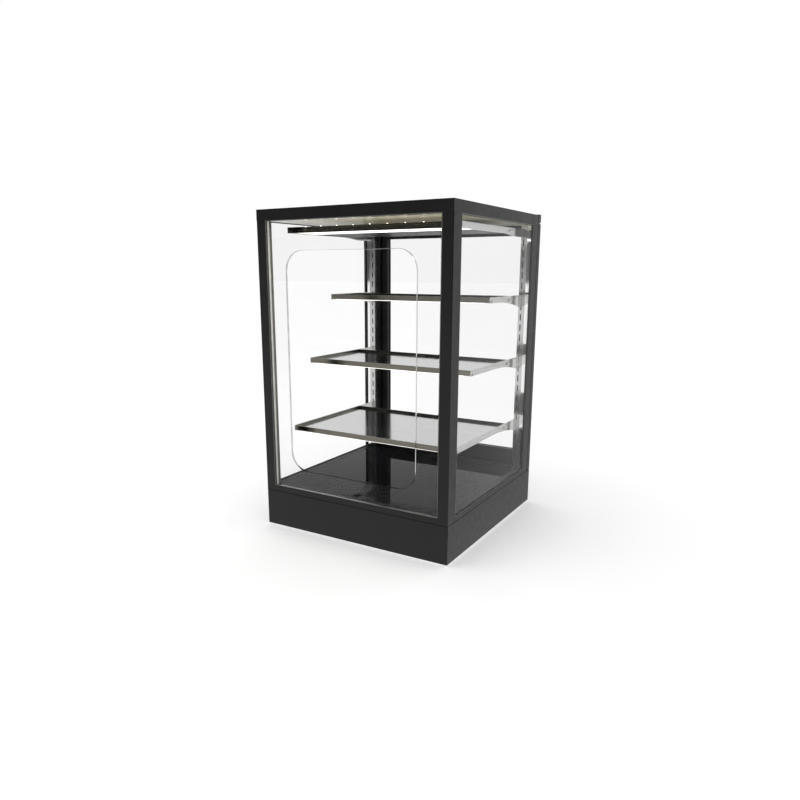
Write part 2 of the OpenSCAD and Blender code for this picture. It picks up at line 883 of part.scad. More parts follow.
module m3_screw_y(x, y) {
    rod_y(x, z_control, y, y + m3_head_t, m3_head_r);
    rod_y(x, z_control, y - m3_len, y + e, m3_r);
}

module foot_screw() {
    head_z = [foot_h * 0.1, foot_h * 0.6];
    translate([0, 0, head_z[0]]) cylinder(h = head_z[1] - head_z[0], r = 1.8 * m4_r);
    translate([0, 0, head_z[1] - e]) cylinder(h = 8, r = m4_r);
}

module screws() {
    color("#c8c9ca") {
        foot_places() foot_screw();
        both_sides() for (i = [0:2])
            shelf_screw_places(i) m3_screw_x(x_bracket_out);
        both_sides() canopy_screw_places() m3_screw_x(x_bracket_out);
        for (x = [knob_x - dial_screw, knob_x + dial_screw]) m3_screw_y(x, y_panel);
        for (x = [inlet_x - inlet_screw, inlet_x + inlet_screw]) m3_screw_y(x, y_panel + bezel_t);
    }
}

// ---------- rear door ----------

// Lower pivot on the base with its washer, and upper lug welded to the rear rail.
module door_pivots() {
    color("#8b8d90") {
        span([hinge_x - 9, x_side - 1], [hinge_y - 9, y_back - 1],
             [z_deck, z_door - washer_t - 0.3]);
        translate([hinge_x, hinge_y, z_deck]) cylinder(h = z_door - z_deck - 0.3, r = 5.5);
        translate([hinge_x, hinge_y, z_deck]) cylinder(h = door_bottom_gap + pin_len, r = pin_r);
        span([hinge_x - 5, x_side - 1], [y_post_back, hinge_y], [lug_z, lug_z + lug_t]);
        translate([hinge_x, hinge_y, lug_z]) cylinder(h = lug_t, r = 5);
        translate([hinge_x, hinge_y, lug_z - pin_len])
            cylinder(h = 2 * pin_len, r = pin_r);
    }
}

module door_catch() {
    color("#3c3c3e") {
        difference() {
            span([-190, -150], [y_post_back - 18, y_door - run_gap], [z_rail - 18, z_rail]);
            span([-180, -160], [y_post_back - 10, y_door], [z_rail - 14, z_rail - 4]);
        }
        span([-178, -162], [y_post_back - 10, y_door - run_gap], [z_rail - 13, z_rail - 5]);
    }
}

// Profile with a finger channel open to the rear and a lip to pull on.
module door_grip_stile() {
    x0 = -x_side;
    x1 = x0 + grip_stile_w;
    channel = 20;
    channel_d = 13;
    lip_t = 3;
    color("#1d1d1e") difference() {
        union() {
            span([x0, x1], [y_door, y_back - edge_r], [z_door, z_door_top]);
            span([x0 + edge_r, x1], [y_door, y_back], [z_door, z_door_top]);
            translate([x0 + edge_r, y_back - edge_r, z_door])
                cylinder(h = z_door_top - z_door, r = edge_r);
        }
        span([x0 + 2, x0 + 12], [y_door + 2, y_back - 2], [z_door - e, z_door_top + e]);
        span([x0 + 14, x0 + 14 + channel], [y_back - channel_d, y_back + e],
             [z_door - e, z_door_top + e]);
        span([x0 + 14, x0 + 20 + channel], [y_back - channel_d, y_back - lip_t],
             [z_door - e, z_door_top + e]);
        span([x0 + 23 + channel, x1 - rebate - 2], [y_door + 2, y_back - 2],
             [z_door - e, z_door_top + e]);
        for (x = [x0 + 16, x0 + 30])
            span([x, x + 5], [y_door - e, y_door + 2.5], [z_door - e, z_door_top + e]);
        door_glass_pocket();
    }
}

// Room for the door glass in the four members.
module door_glass_pocket() {
    span([-x_side + grip_stile_w - rebate, x_side - hinge_stile_w + rebate],
         [hinge_y - 5 - play, hinge_y - 5 + door_glass_t + play],
         [z_door + door_rail_h - rebate, z_door_top - door_rail_h + rebate]);
}

module door_hinge_stile() {
    x0 = x_side - hinge_stile_w;
    plug = 24;
    color("#1d1d1e") difference() {
        union() {
            span([x0, x_side], [y_door, y_back - edge_r], [z_door, z_door_top]);
            span([x0, x_side - edge_r], [y_door, y_back], [z_door, z_door_top]);
            translate([x_side - edge_r, y_back - edge_r, z_door])
                cylinder(h = z_door_top - z_door, r = edge_r);
        }
        span([x0 + rebate + 2, x_side - 2], [y_door + 2, y_back - 2],
             [z_door + plug, lug_z - plug]);
        translate([hinge_x, hinge_y, z_door - e])
            cylinder(h = pin_len + 1, r = pin_r + bore_gap);
        translate([hinge_x, hinge_y, lug_z - pin_len - 1])
            cylinder(h = 2 * pin_len + 2, r = pin_r + bore_gap);
        span([hinge_x - 7, x_side + e], [y_door - e, y_back + e],
             [lug_z - run_gap, lug_z + lug_t + run_gap]);
        door_glass_pocket();
    }
}

module door_rails() {
    x = [-x_side + grip_stile_w, x_side - hinge_stile_w];
    color("#1d1d1e") for (z = [z_door, z_door_top - door_rail_h]) difference() {
        span(x, [y_door, y_back], [z, z + door_rail_h]);
        span([x[0] - e, x[1] + e], [y_door + 2, y_back - 2],
             [z + rebate + 2, z + door_rail_h - rebate - 2]);
        door_glass_pocket();
    }
}

module door_glass() {
    color("#dfe9ea", 0.35)
        span([-x_side + grip_stile_w - rebate + play, x_side - hinge_stile_w + rebate - play],
             [hinge_y - 5, hinge_y - 5 + door_glass_t],
             [z_door + door_rail_h - rebate + play, z_door_top - door_rail_h + rebate - play]);
}

module door_seal() {
    x1 = x_side - seal_inset;
    z = [z_door, z_rail + seal_w + 4];
    color("#0d0d0e") difference() {
        span([-x1, x1], [y_post_back + 0.3, y_door], z);
        span([-x1 + seal_w, x1 - seal_w], [y_post_back, y_door + e],
             [z[0] + seal_w, z[1] - seal_w]);
    }
}

screws();
foot_pads();
bottom_plate();
base_shell();
control_panel();
power_inlet();
inlet_pins();
thermostat_body();
thermostat_probe();
switch_housings();
terminal_block();
led_driver();
heating_element();
heat_reflector();
insulation_slab();
floor_support();
floor_glass();
front_left_post();
front_right_post();
rear_left_post();
rear_right_post();
front_sill();
left_sill();
right_sill();
rear_sill();
front_top_rail();
left_top_rail();
right_top_rail();
rear_top_rail();
roof_panel();
ceiling_panel();
front_glass();
left_glass();
right_glass();
glazing_joints();
left_upright();
right_upright();
shelf_lower();
shelf_middle();
shelf_upper();
brackets_lower();
brackets_middle();
brackets_upper();
brackets_canopy();
shelf_lamp_lower();
shelf_lamp_middle();
shelf_lamp_upper();
canopy_housing();
canopy_diffuser();
canopy_cover();
door_pivots();
door_catch();
door_grip_stile();
door_hinge_stile();
door_rails();
door_glass();
door_seal();
thermostat_knob();
power_rocker();
light_rocker();
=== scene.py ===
"""Looks of the hot food display case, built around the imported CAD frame."""
import json
import math

import bmesh
import bpy
from mathutils import Matrix, Vector


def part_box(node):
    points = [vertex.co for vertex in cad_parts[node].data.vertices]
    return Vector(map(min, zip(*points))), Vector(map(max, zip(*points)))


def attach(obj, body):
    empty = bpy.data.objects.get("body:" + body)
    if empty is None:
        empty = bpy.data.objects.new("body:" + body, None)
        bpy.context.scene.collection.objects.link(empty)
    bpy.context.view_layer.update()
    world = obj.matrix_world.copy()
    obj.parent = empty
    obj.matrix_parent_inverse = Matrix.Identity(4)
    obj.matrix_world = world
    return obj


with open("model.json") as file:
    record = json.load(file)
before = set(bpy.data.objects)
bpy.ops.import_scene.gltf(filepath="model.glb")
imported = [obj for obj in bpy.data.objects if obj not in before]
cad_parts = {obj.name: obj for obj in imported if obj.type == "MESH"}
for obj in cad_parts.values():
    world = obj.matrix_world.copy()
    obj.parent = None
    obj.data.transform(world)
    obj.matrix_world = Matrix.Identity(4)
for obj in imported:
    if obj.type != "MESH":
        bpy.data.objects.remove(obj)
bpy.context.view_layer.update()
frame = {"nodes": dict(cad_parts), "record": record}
nodes = frame["nodes"]
scene = bpy.context.scene

MM = 0.001
EVEN = (1, 1, 1)
NOISE_MIDDLE = (0.35, 0.65)


# ---------------------------------------------------------------- node helpers

class Nodes:
    """The emptied node tree of a material or world, and what both need to fill it."""

    def __init__(self, owner):
        owner.use_nodes = True
        self.tree = owner.node_tree
        self.tree.nodes.clear()

    def add(self, kind, **values):
        node = self.tree.nodes.new(kind)
        for key, value in values.items():
            setattr(node, key, value)
        return node

    def link(self, source, target):
        self.tree.links.new(source, target)

    def math(self, operation, first, second=None):
        node = self.add("ShaderNodeMath", operation=operation)
        for socket, value in zip(node.inputs, (first, second)):
            if isinstance(value, (int, float)):
                socket.default_value = value
            elif value is not None:
                self.link(value, socket)
        return node.outputs[0]

    def map_range(self, source, start, end, low=0.0, high=1.0, interpolation="LINEAR"):
        """source from start to end, mapped to low and high."""
        node = self.add("ShaderNodeMapRange", interpolation_type=interpolation)
        for key, value in zip(("From Min", "From Max", "To Min", "To Max"), (start, end, low, high)):
            node.inputs[key].default_value = value
        self.link(source, node.inputs["Value"])
        return node.outputs[0]

    def mirrored(self, path):
        """1 for a ray that has met a glossy surface and no diffuse one, and 0 for all others."""
        return self.math(
            "MULTIPLY", self.math("GREATER_THAN", path.outputs["Glossy Depth"], 0.5),
            self.math("LESS_THAN", path.outputs["Diffuse Depth"], 0.5))


class Shader(Nodes):
    """A material under construction: one Principled node and the nodes that feed it."""

    def __init__(self, name, **values):
        self.material = bpy.data.materials.new(name)
        super().__init__(self.material)
        self.output = self.add("ShaderNodeOutputMaterial")
        self.bsdf = self.add("ShaderNodeBsdfPrincipled")
        self.link(self.bsdf.outputs[0], self.output.inputs["Surface"])
        self.coords = self.add("ShaderNodeTexCoord").outputs["Object"]
        for key, value in values.items():
            self.socket(key).default_value = value

    def socket(self, key):
        return self.bsdf.inputs[key.replace("_", " ")]

    def noise(self, scale, detail, stretch=EVEN):
        """Noise in the object's own metres; stretch above 1 makes it finer along that axis."""
        mapping = self.add("ShaderNodeMapping")
        mapping.inputs["Scale"].default_value = stretch
        self.link(self.coords, mapping.inputs["Vector"])
        node = self.add("ShaderNodeTexNoise")
        node.inputs["Scale"].default_value = scale
        node.inputs["Detail"].default_value = detail
        self.link(mapping.outputs[0], node.inputs["Vector"])
        return node.outputs["Fac"]

    def ramp(self, source, low, high):
        """The middle of a noise, mapped to low and high: two numbers or two colours."""
        if isinstance(low, (int, float)):
            return self.map_range(source, *NOISE_MIDDLE, low, high)
        node = self.add("ShaderNodeValToRGB")
        for element, place, colour in zip(node.color_ramp.elements, NOISE_MIDDLE, (low, high)):
            element.position = place
            element.color = (*colour, 1)
        self.link(source, node.inputs["Fac"])
        return node.outputs["Color"]

    def axis(self, letter):
        """The object's own coordinate along one axis, in metres."""
        split = self.add("ShaderNodeSeparateXYZ")
        self.link(self.coords, split.inputs[0])
        return split.outputs[letter]

    def squareness(self, letter):
        """1 where the surface faces along an axis, 0 where it lies along it."""
        split = self.add("ShaderNodeSeparateXYZ")
        self.link(self.add("ShaderNodeNewGeometry").outputs["Normal"], split.inputs[0])
        return self.math("ABSOLUTE", split.outputs[letter])

    def blend(self, key, factor, low, high):
        """A socket that goes from low to high, each a number, a colour or a node's output."""
        colour = key == "Base_Color"
        node = self.add("ShaderNodeMix", data_type="RGBA" if colour else "FLOAT")
        letter_type = "RGBA" if colour else "VALUE"
        by_name = {(i.name, i.type): i for i in node.inputs}
        self.link(factor, node.inputs[0])
        for letter, value in zip("AB", (low, high)):
            socket = by_name[(letter, letter_type)]
            if isinstance(value, (int, float)):
                socket.default_value = value
            elif isinstance(value, (tuple, list)):
                socket.default_value = (*value, 1)
            else:
                self.link(value, socket)
        result = [o for o in node.outputs if o.type == letter_type][0]
        self.link(result, self.socket(key))
        return self

    def vary(self, key, source, low, high):
        """A socket that wanders between low and high with a noise."""
        self.link(self.ramp(source, low, high), self.socket(key))
        return self

    def mix_surface(self, factor, other):
        """Shows another shader in place of the Principled one where factor is 1."""
        mix = self.add("ShaderNodeMixShader")
        for value, socket in zip((factor, self.bsdf.outputs[0], other.outputs[0]), mix.inputs):
            self.link(value, socket)
        self.link(mix.outputs[0], self.output.inputs["Surface"])
        return self

    def bump(self, source, strength, distance):
        node = self.add("ShaderNodeBump")
        node.inputs["Strength"].default_value = strength
        node.inputs["Distance"].default_value = distance
        self.link(source, node.inputs["Height"])
        self.link(node.outputs[0], self.bsdf.inputs["Normal"])
        return self

    def let_lamps_through(self):
        """Clear glass: rays from lamps pass straight on, so that what is behind it stays lit."""
        path = self.add("ShaderNodeLightPath")
        return self.mix_surface(path.outputs["Is Shadow Ray"], self.add("ShaderNodeBsdfTransparent"))


# ---------------------------------------------------------------- materials

SEAM_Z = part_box("base_shell")[1][2]
SEAM_SHADE_HALF = (0.6 * MM, 0.9 * MM)
PANE_IOR = 1.11
PANE_TINT = ((0.944, 0.947, 0.945), (0.950, 0.952, 0.951))
FLANGE_X = (232.6 * MM, 233.4 * MM)


def powder_coat():
    """Fine satin black, with painted shade in the seam between base and frame, which is about 1.5 mm wide:
    near black and rough there.
    """
    s = Shader("black_powder_coat", IOR=1.37)
    seam = s.math("ABSOLUTE", s.math("SUBTRACT", s.axis("Z"), SEAM_Z))
    paint = s.ramp(s.noise(9, 4), (0.0048, 0.0048, 0.0052), (0.0066, 0.0066, 0.0070))
    # painted shade: the seam is painted near black, standing for the shadow in the gap between base and
    # frame
    beyond_seam_shade = s.map_range(seam, *SEAM_SHADE_HALF)
    s.blend("Base_Color", beyond_seam_shade, (0.001, 0.001, 0.001), paint)
    s.blend("Roughness", beyond_seam_shade, 0.9, s.ramp(s.noise(60, 5), 0.37, 0.43))
    return s.bump(s.noise(1400, 2), 0.2, 0.0002).material


def clear_glass():
    """Side and door panes, with a faint grey tint."""
    s = Shader("clear_glass", IOR=PANE_IOR, Transmission_Weight=1.0, Roughness=0.0)
    s.vary("Base_Color", s.noise(5, 2), *PANE_TINT)
    return s.let_lamps_through().material


def cut_pane_glass():
    """The front pane: clear, with a ground and polished edge round its opening."""
    s = Shader("cut_pane_glass", IOR=PANE_IOR, Transmission_Weight=1.0)
    face = s.map_range(s.squareness("Y"), 0.80, 0.97)
    clear = s.ramp(s.noise(5, 2), *PANE_TINT)
    edge = s.ramp(s.noise(90, 3), (0.26, 0.27, 0.265), (0.38, 0.39, 0.385))
    s.blend("Base_Color", face, edge, clear)
    s.blend("Roughness", face, 0.16, 0.0)
    return s.let_lamps_through().material


def black_glass():
    """The heated deck: nearly black, and close to a mirror."""
    s = Shader("black_glass", IOR=1.15)
    s.vary("Base_Color", s.noise(14, 2), (0.006, 0.006, 0.007), (0.010, 0.010, 0.011))
    s.vary("Roughness", s.noise(22, 5), 0.004, 0.03)
    return s.material


def upright_steel():
    """Satin stainless channel whose outer flange is polished."""
    s = Shader("upright_steel", Metallic=1.0)
    grain = s.noise(300, 4, (1, 1, 0.05))
    flange = s.map_range(s.math("ABSOLUTE", s.axis("X")), *FLANGE_X)
    satin = s.ramp(grain, (0.58, 0.58, 0.58), (0.63, 0.63, 0.62))
    s.blend("Base_Color", flange, satin, (0.95, 0.95, 0.94))
    s.blend("Roughness", flange, s.ramp(grain, 0.13, 0.17), s.ramp(grain, 0.03, 0.06))
    return s.bump(grain, 0.02, 0.0001).material


def tray_steel_painted_light():
    """Polished trays with painted light: level faces painted bright as if lit from above, folded edges
    painted dark as painted shade.
    """
    s = Shader("tray_steel_painted_light", Metallic=1.0)
    grain = s.noise(260, 4, (0.04, 1, 1))
    # painted light: faces that look up are painted bright, upright folded edges painted dark, by how light
    # falls on them
    level = s.map_range(s.squareness("Z"), 0.45, 0.75)
    folds_painted_dark = s.ramp(grain, (0.155, 0.148, 0.125), (0.185, 0.176, 0.150))
    bright = s.ramp(grain, (0.70, 0.70, 0.70), (0.76, 0.76, 0.765))
    s.blend("Base_Color", level, folds_painted_dark, bright)
    s.blend("Roughness", level, s.ramp(grain, 0.16, 0.20), s.ramp(grain, 0.11, 0.15))
    return s.bump(grain, 0.02, 0.0001).material


def ceiling_steel():
    """Ceiling sheet, its colour painted warm and light as a painted glow of the lamps, under a clear coat.
    """
    s = Shader("ceiling_painted_lamp_warmth", Coat_Weight=0.6, Coat_Roughness=0.06)
    # painted light: the warm, light colour stands for lamp light falling on the ceiling
    s.vary("Base_Color", s.noise(60, 4, (0.1, 1, 1)), (0.70, 0.65, 0.47), (0.76, 0.71, 0.53))
    s.vary("Roughness", s.noise(140, 4, (0.1, 1, 1)), 0.28, 0.40)
    return s.bump(s.noise(260, 3, (0.1, 1, 1)), 0.1, 0.0001).material


def steel(name, colour, low, high, grain, stretch=EVEN, strength=0.15):
    """Metal of a colour, with a roughness from low to high and a grain that may be stretched."""
    s = Shader(name, Metallic=1.0)
    s.vary("Base_Color", s.noise(grain / 4, 4, stretch), [c * 0.92 for c in colour], colour)
    s.vary("Roughness", s.noise(grain, 4, stretch), low, high)
    return s.bump(s.noise(grain * 2, 3, stretch), strength, 0.0001).material


def rubber():
    s = Shader("black_rubber")
    s.vary("Base_Color", s.noise(30, 3), (0.012, 0.012, 0.012), (0.022, 0.022, 0.022))
    s.vary("Roughness", s.noise(90, 4), 0.55, 0.75)
    return s.bump(s.noise(900, 2), 0.3, 0.0002).material


def plastic(name, colour, low=0.35, high=0.5):
    s = Shader(name)
    s.vary("Base_Color", s.noise(40, 3), [c * 0.85 for c in colour], colour)
    s.vary("Roughness", s.noise(120, 4), low, high)
    return s.bump(s.noise(1800, 2), 0.25, 0.0002).material


def lit_diffuser():
    s = Shader("lit_diffuser", Roughness=0.5, Base_Color=(0.9, 0.9, 0.88, 1), Emission_Strength=1.6)
    s.vary("Emission_Color", s.noise(30, 2), (1.0, 0.965, 0.90), (1.0, 0.975, 0.92))
    return s.material


def wool():
    s = Shader("mineral_wool", Roughness=0.95)
    s.vary("Base_Color", s.noise(220, 6, (1, 1, 3)), (0.35, 0.30, 0.17), (0.55, 0.48, 0.30))
    return s.bump(s.noise(300, 6), 0.8, 0.002).material


def print_ink():
    s = Shader("white_print")
    s.vary("Base_Color", s.noise(400, 3), (0.66, 0.66, 0.64), (0.78, 0.78, 0.76))
    s.vary("Roughness", s.noise(700, 3), 0.45, 0.6)
    return s.material


MATERIALS = {
    "black_paint": powder_coat(),
    "zinc_steel": steel("zinc_steel", (0.60, 0.61, 0.63), 0.30, 0.45, 120),
    "satin_steel": steel("satin_steel", (0.70, 0.70, 0.69), 0.14, 0.19, 300, (1, 0.04, 1), 0.02),
    "polished_steel": tray_steel_painted_light(),
    "clear_glass": clear_glass(),
    "black_glass": black_glass(),
    "black_seal": rubber(),
    "black_plastic": plastic("black_plastic", (0.02, 0.02, 0.022)),
    "green_plastic": plastic("green_plastic", (0.03, 0.25, 0.07), 0.15, 0.25),
    "pale_plastic": plastic("pale_plastic", (0.70, 0.67, 0.60)),
    "lamp_diffuser": lit_diffuser(),
    "brass": steel("brass", (0.72, 0.55, 0.25), 0.2, 0.35, 200),
    "heater_steel": steel("heater_steel", (0.16, 0.13, 0.11), 0.45, 0.65, 90),
    "copper_probe": steel("copper_probe", (0.72, 0.38, 0.22), 0.25, 0.4, 150),
    "mineral_wool": wool(),
}
SLOT = {part["node"]: part["material_slot"] for part in frame["record"]["subparts"]}
UPRIGHT = upright_steel()
OF_NODE = {
    "left_upright": UPRIGHT,
    "right_upright": UPRIGHT,
    "ceiling_panel": ceiling_steel(),
    "front_glass": cut_pane_glass(),
    "door_pivots": steel("blackened_steel", (0.045, 0.045, 0.047), 0.35, 0.45, 120),
    "glazing_joints": plastic("grey_silicone", (0.115, 0.112, 0.10), 0.35, 0.5),
}
for name, obj in nodes.items():
    obj.data.materials.clear()
    obj.data.materials.append(OF_NODE.get(name) or MATERIALS[SLOT[name]])


def soften(names, width, segments=2):
    """Rounds the sharp edges of CAD nodes, so that they catch light as real edges do."""
    for name in names:
        weld = nodes[name].modifiers.new("weld", "WELD")
        weld.merge_threshold = 0.01 * MM
        bevel = nodes[name].modifiers.new("round", "BEVEL")
        bevel.width = width
        bevel.segments = segments
        bevel.limit_method = "ANGLE"
        bevel.angle_limit = math.radians(40)
        bevel.harden_normals = True


soften([n for n, s in SLOT.items() if s == "black_paint"], 0.4 * MM)
soften(["left_glass", "right_glass", "door_glass", "floor_glass"], 0.5 * MM)
soften(["front_glass"], 1.3 * MM, 3)
soften(["shelf_lower", "shelf_middle", "shelf_upper", "canopy_housing"], 0.35 * MM)
soften(["brackets_lower", "brackets_middle", "brackets_upper", "brackets_canopy"], 0.3 * MM)


# ---------------------------------------------------------------- added pieces

def add_piece(name, build, material, body):
    """Turns a finished bmesh into a piece that rides on a body."""
    mesh = bpy.data.meshes.new(name)
    build.to_mesh(mesh)
    build.free()
    mesh.materials.append(material)
    piece = bpy.data.objects.new(name, mesh)
    scene.collection.objects.link(piece)
    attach(piece, body)
    return piece


def add_shell(name, vertices, faces, material, slot):
    """A closed shell of the case, from its points and faces."""
    build = bmesh.new()
    points = [build.verts.new(v) for v in vertices]
    for face in faces:
        build.faces.new([points[i] for i in face])
    bmesh.ops.recalc_face_normals(build, faces=build.faces)
    add_piece(name, build, material, "case")


def rounded(width, depth, radius, steps=3):
    """Outline of a rounded rectangle round its own middle."""
    points = []
    for corner, (sx, sy) in enumerate(((1, 1), (-1, 1), (-1, -1), (1, -1))):
        for i in range(steps + 1):
            turn = math.radians(90 * (corner + i / steps))
            points.append((
                sx * (width / 2 - radius) + radius * math.cos(turn),
                sy * (depth / 2 - radius) + radius * math.sin(turn),
            ))
    return points


def upright_bar(name, outline, middle, z_from, z_to, **finish):
    """An outline round a middle (x, y), drawn up from z_from to z_to."""
    count = len(outline)
    vertices = [(middle[0] + x, middle[1] + y, z) for z in (z_from, z_to) for x, y in outline]
    faces = [(i, (i + 1) % count, count + (i + 1) % count, count + i) for i in range(count)]
    faces += [tuple(range(count)), tuple(range(count, 2 * count))]
    add_shell(name, vertices, faces, **finish)


def ring(name, profile, half_x, half_y, **finish):
    """A profile of (outward, height) points swept round a rectangle with mitred corners."""
    count = len(profile)
    corners = ((1, 1), (-1, 1), (-1, -1), (1, -1))
    vertices = [(sx * (half_x + out), sy * (half_y + out), z) for sx, sy in corners for out, z in profile]
    faces = [
        (c * count + i, c * count + (i + 1) % count,
         (c + 1) % 4 * count + (i + 1) % count, (c + 1) % 4 * count + i)
        for c in range(4) for i in range(count)
    ]
    add_shell(name, vertices, faces, **finish)


BRIGHT = steel("bright_trim", (0.95, 0.95, 0.93), 0.04, 0.09, 220, (1, 1, 0.05), 0.01)
# painted reflection: the trim is painted near white, in place of polished steel that mirrors the bright
# floor
TRIM_PAINTED_SHINE = plastic("trim_painted_reflection", (0.95, 0.94, 0.90), 0.3, 0.4)
LINER = plastic("post_liner", (0.17, 0.165, 0.145), 0.3, 0.4)
INK = print_ink()

# In the corner between each front post and the front pane: a dark liner, and a bright trim before it,
# painted near white as a painted reflection of polished steel.
# Each has its width, depth and corner radius, and how far its middle lies from the post and from the pane.
POST_PIECES = (
    ("post_liner_", LINER, (0.6 * MM, 15.6 * MM, 0.2 * MM), 0.32 * MM, 8.2 * MM),
    ("post_trim_painted_shine_", TRIM_PAINTED_SHINE, (1.0 * MM, 6.0 * MM, 0.25 * MM), 1.15 * MM, 3.3 * MM),
)
glass_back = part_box("front_glass")[1][1]
post_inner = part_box("front_right_post")[0][0]
sill_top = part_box("front_sill")[1][2]
ceiling_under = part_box("ceiling_panel")[0][2]
post_piece_top = ceiling_under - 0.3 * MM
for side, label in ((-1, "left"), (1, "right")):
    for start, material, outline, from_post, from_pane in POST_PIECES:
        upright_bar(
            start + label, rounded(*outline), (side * (post_inner - from_post), glass_back + from_pane),
            sill_top, post_piece_top, material=material, slot="pale_plastic")


LENS_FLATNESS = 0.6
DISC_CORNERS = 6  # the flat disc that closes a lens has at least this many, and a dome's facets have fewer


def lens_row(name, xs, y, z, radius, material):
    """Small domed lamp lenses in a row, as one piece."""
    build = bmesh.new()
    for x in xs:
        bmesh.ops.create_uvsphere(
            build, u_segments=12, v_segments=6, radius=radius,
            matrix=Matrix.Translation((x, y, z)) @ Matrix.Scale(LENS_FLATNESS, 4, (0, 0, 1)))
    bmesh.ops.bisect_plane(
        build, geom=build.verts[:] + build.edges[:] + build.faces[:],
        plane_co=(0, 0, z), plane_no=(0, 0, -1), clear_outer=True)
    bmesh.ops.holes_fill(build, edges=[e for e in build.edges if e.is_boundary])
    for face in build.faces:
        face.smooth = len(face.verts) < DISC_CORNERS
    add_piece(name, build, material, "case")


LENS = Shader("lamp_lens", Roughness=0.2, Base_Color=(0.95, 0.93, 0.85, 1), Emission_Strength=9.0)
LENS.vary("Emission_Color", LENS.noise(300, 2), (1.0, 0.90, 0.70), (1.0, 0.95, 0.80))
LENS_COUNT = 9
LENS_PITCH = 45 * MM
LENS_R = 2.6 * MM
canopy_front, canopy_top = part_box("canopy_housing")[0][1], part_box("canopy_housing")[1][2]
lens_row(
    "ceiling_lamp_lenses", [(i - (LENS_COUNT - 1) / 2) * LENS_PITCH for i in range(LENS_COUNT)],
    canopy_front + 14 * MM, canopy_top, LENS_R, LENS.material)

base_low, base_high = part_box("base_shell")
STRIP_INNER, STRIP_OUTER, STRIP_UNDER = -2.6 * MM, -0.1 * MM, 0.9 * MM
STRIP_BEVEL = 0.4 * MM
ring(
    "base_edge_strip",
    [
        (STRIP_INNER, STRIP_UNDER),
        (STRIP_OUTER - STRIP_BEVEL, STRIP_UNDER),
        (STRIP_OUTER, STRIP_UNDER + STRIP_BEVEL),
        (STRIP_OUTER, base_low[2]),
        (STRIP_INNER, base_low[2]),
    ],
    base_high[0], base_high[1], material=BRIGHT, slot="satin_steel")


FACING_BACK = Matrix(((-1, 0, 0, 0), (0, 0, 1, 0), (0, 1, 0, 0), (0, 0, 0, 1)))
PRINT_T = 0.15 * MM
PRINT_GAP = 0.02 * MM
BEHIND_ALL = 300 * MM


def print_piece(name, build, node, body):
    """Drops flat print onto a node from behind, gives it a thin wall and makes it a piece."""
    for vertex in build.verts:
        start = Vector((vertex.co.x, BEHIND_ALL, vertex.co.z))
        hit, place, _, _ = nodes[node].ray_cast(start, Vector((0, -1, 0)))
        if hit:
            vertex.co.y = place.y + PRINT_GAP
    wall = bmesh.ops.extrude_face_region(build, geom=list(build.faces))
    for item in wall["geom"]:
        if isinstance(item, bmesh.types.BMVert):
            item.co.y += PRINT_T
    bmesh.ops.recalc_face_normals(build, faces=build.faces)
    add_piece(name, build, INK, body)


def lay_signs(name, signs, node, body, size):
    """Raised print that lies on a node's rear side: each sign is a text, its x and its z."""
    outlines = []
    for text, x, z in signs:
        curve = bpy.data.curves.new(name, "FONT")
        curve.body = text
        curve.size = size
        curve.align_x = "CENTER"
        curve.align_y = "CENTER"
        curve.resolution_u = 3
        letter = bpy.data.objects.new(name, curve)
        place = Matrix.Translation((x, 0, z)) @ FACING_BACK
        outlines.append((bpy.data.meshes.new_from_object(letter), place))
        bpy.data.objects.remove(letter)
    build = bmesh.new()
    for outline, place in outlines:
        outline.transform(place)
        build.from_mesh(outline)
        bpy.data.meshes.remove(outline)
    print_piece(name, build, node, body)


BAR_STEPS = 6
BAR_TIP = 0.55


def bar_sign(name, node, body, direction, inner, outer, width):
    """A raised line on a node's rear side, from inner to outer round the knob, with a slimmer tip."""
    dx, dz = direction
    build = bmesh.new()
    rows = []
    for i in range(BAR_STEPS + 1):
        r = inner + (outer - inner) * i / BAR_STEPS
        half = width / 2 * (1.0 if i < BAR_STEPS else BAR_TIP)
        rows.append([
            build.verts.new((knob_x + dx * r - dz * half * side, 0, knob_z + dz * r + dx * half * side))
            for side in (-1, 1)
        ])
    for low, high in zip(rows, rows[1:]):
        build.faces.new((low[0], low[1], high[1], high[0]))
    print_piece(name, build, node, body)


knob_low, knob_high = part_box("thermostat_knob")
knob_x, knob_z = (knob_low[0] + knob_high[0]) / 2, (knob_low[2] + knob_high[2]) / 2
KNOB_TRAVEL = 270
SCALE = ("0", "30", "45", "60", "75", "90")
TICK_INNER, TICK_OUTER, NUMBER_R = 19.5 * MM, 21.8 * MM, 25.6 * MM


def clock(share):
    """Direction (x, z) of a share of the knob's travel, seen from behind, from lower left on."""
    turn = math.radians(KNOB_TRAVEL * (share - 0.5))
    return -math.sin(turn), math.cos(turn)


bar_sign("knob_pointer", "thermostat_knob", "knob", clock(0), 3 * MM, 13.5 * MM, 1.6 * MM)
marks = [clock(i / (len(SCALE) - 1)) for i in range(len(SCALE))]
for i, direction in enumerate(marks):
    bar_sign("scale_tick_%d" % i, "control_panel", "case", direction, TICK_INNER, TICK_OUTER, 0.7 * MM)
numbers = [(text, knob_x + dx * NUMBER_R, knob_z + dz * NUMBER_R) for text, (dx, dz) in zip(SCALE, marks)]
lay_signs("scale_numbers", numbers, "control_panel", "case", 5.2 * MM)

ROCKER_SIGN_SIZE = ROCKER_SIGN_RISE = 6 * MM
for switch, body in (("power_rocker", "power_switch"), ("light_rocker", "light_switch")):
    low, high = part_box(switch)
    x, z = (low[0] + high[0]) / 2, (low[2] + high[2]) / 2
    signs = [("I", x, z + ROCKER_SIGN_RISE), ("O", x, z - ROCKER_SIGN_RISE)]
    lay_signs(switch + "_signs", signs, switch, body, ROCKER_SIGN_SIZE)

# ---------------------------------------------------------------- camera

